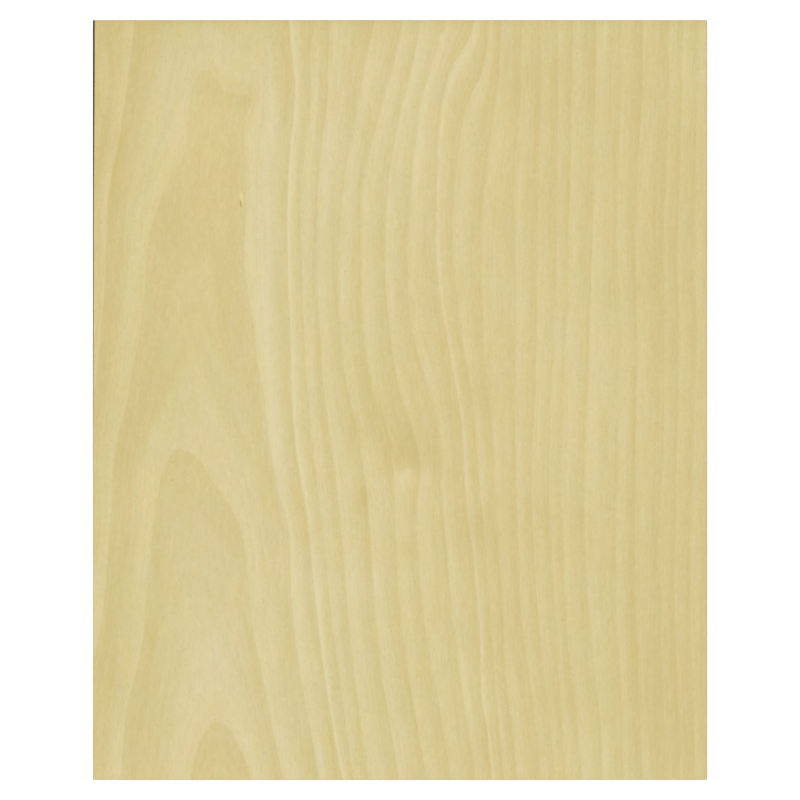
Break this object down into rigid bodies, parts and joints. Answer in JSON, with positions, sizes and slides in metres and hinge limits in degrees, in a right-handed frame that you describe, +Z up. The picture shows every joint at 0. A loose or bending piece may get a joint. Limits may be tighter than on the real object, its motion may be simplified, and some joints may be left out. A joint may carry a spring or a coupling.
{
  "type": "plywood sheet",
  "caption": "Flat rectangular sheet of face-grade plywood, with the face grain along its length and sawn, lightly broken edges.",
  "frame": {"origin": "middle of the underside", "axes": "+X across the face grain, over the width; +Y along the face grain, over the length; +Z up through the plies"},
  "size_m": [0.2054, 0.254, 0.006],
  "materials": {
    "plywood": "sanded, unfinished pale softwood veneer"
  },
  "bodies": {
    "root": {"plywood_sheet": "plywood"}
  },
  "joints": []
}
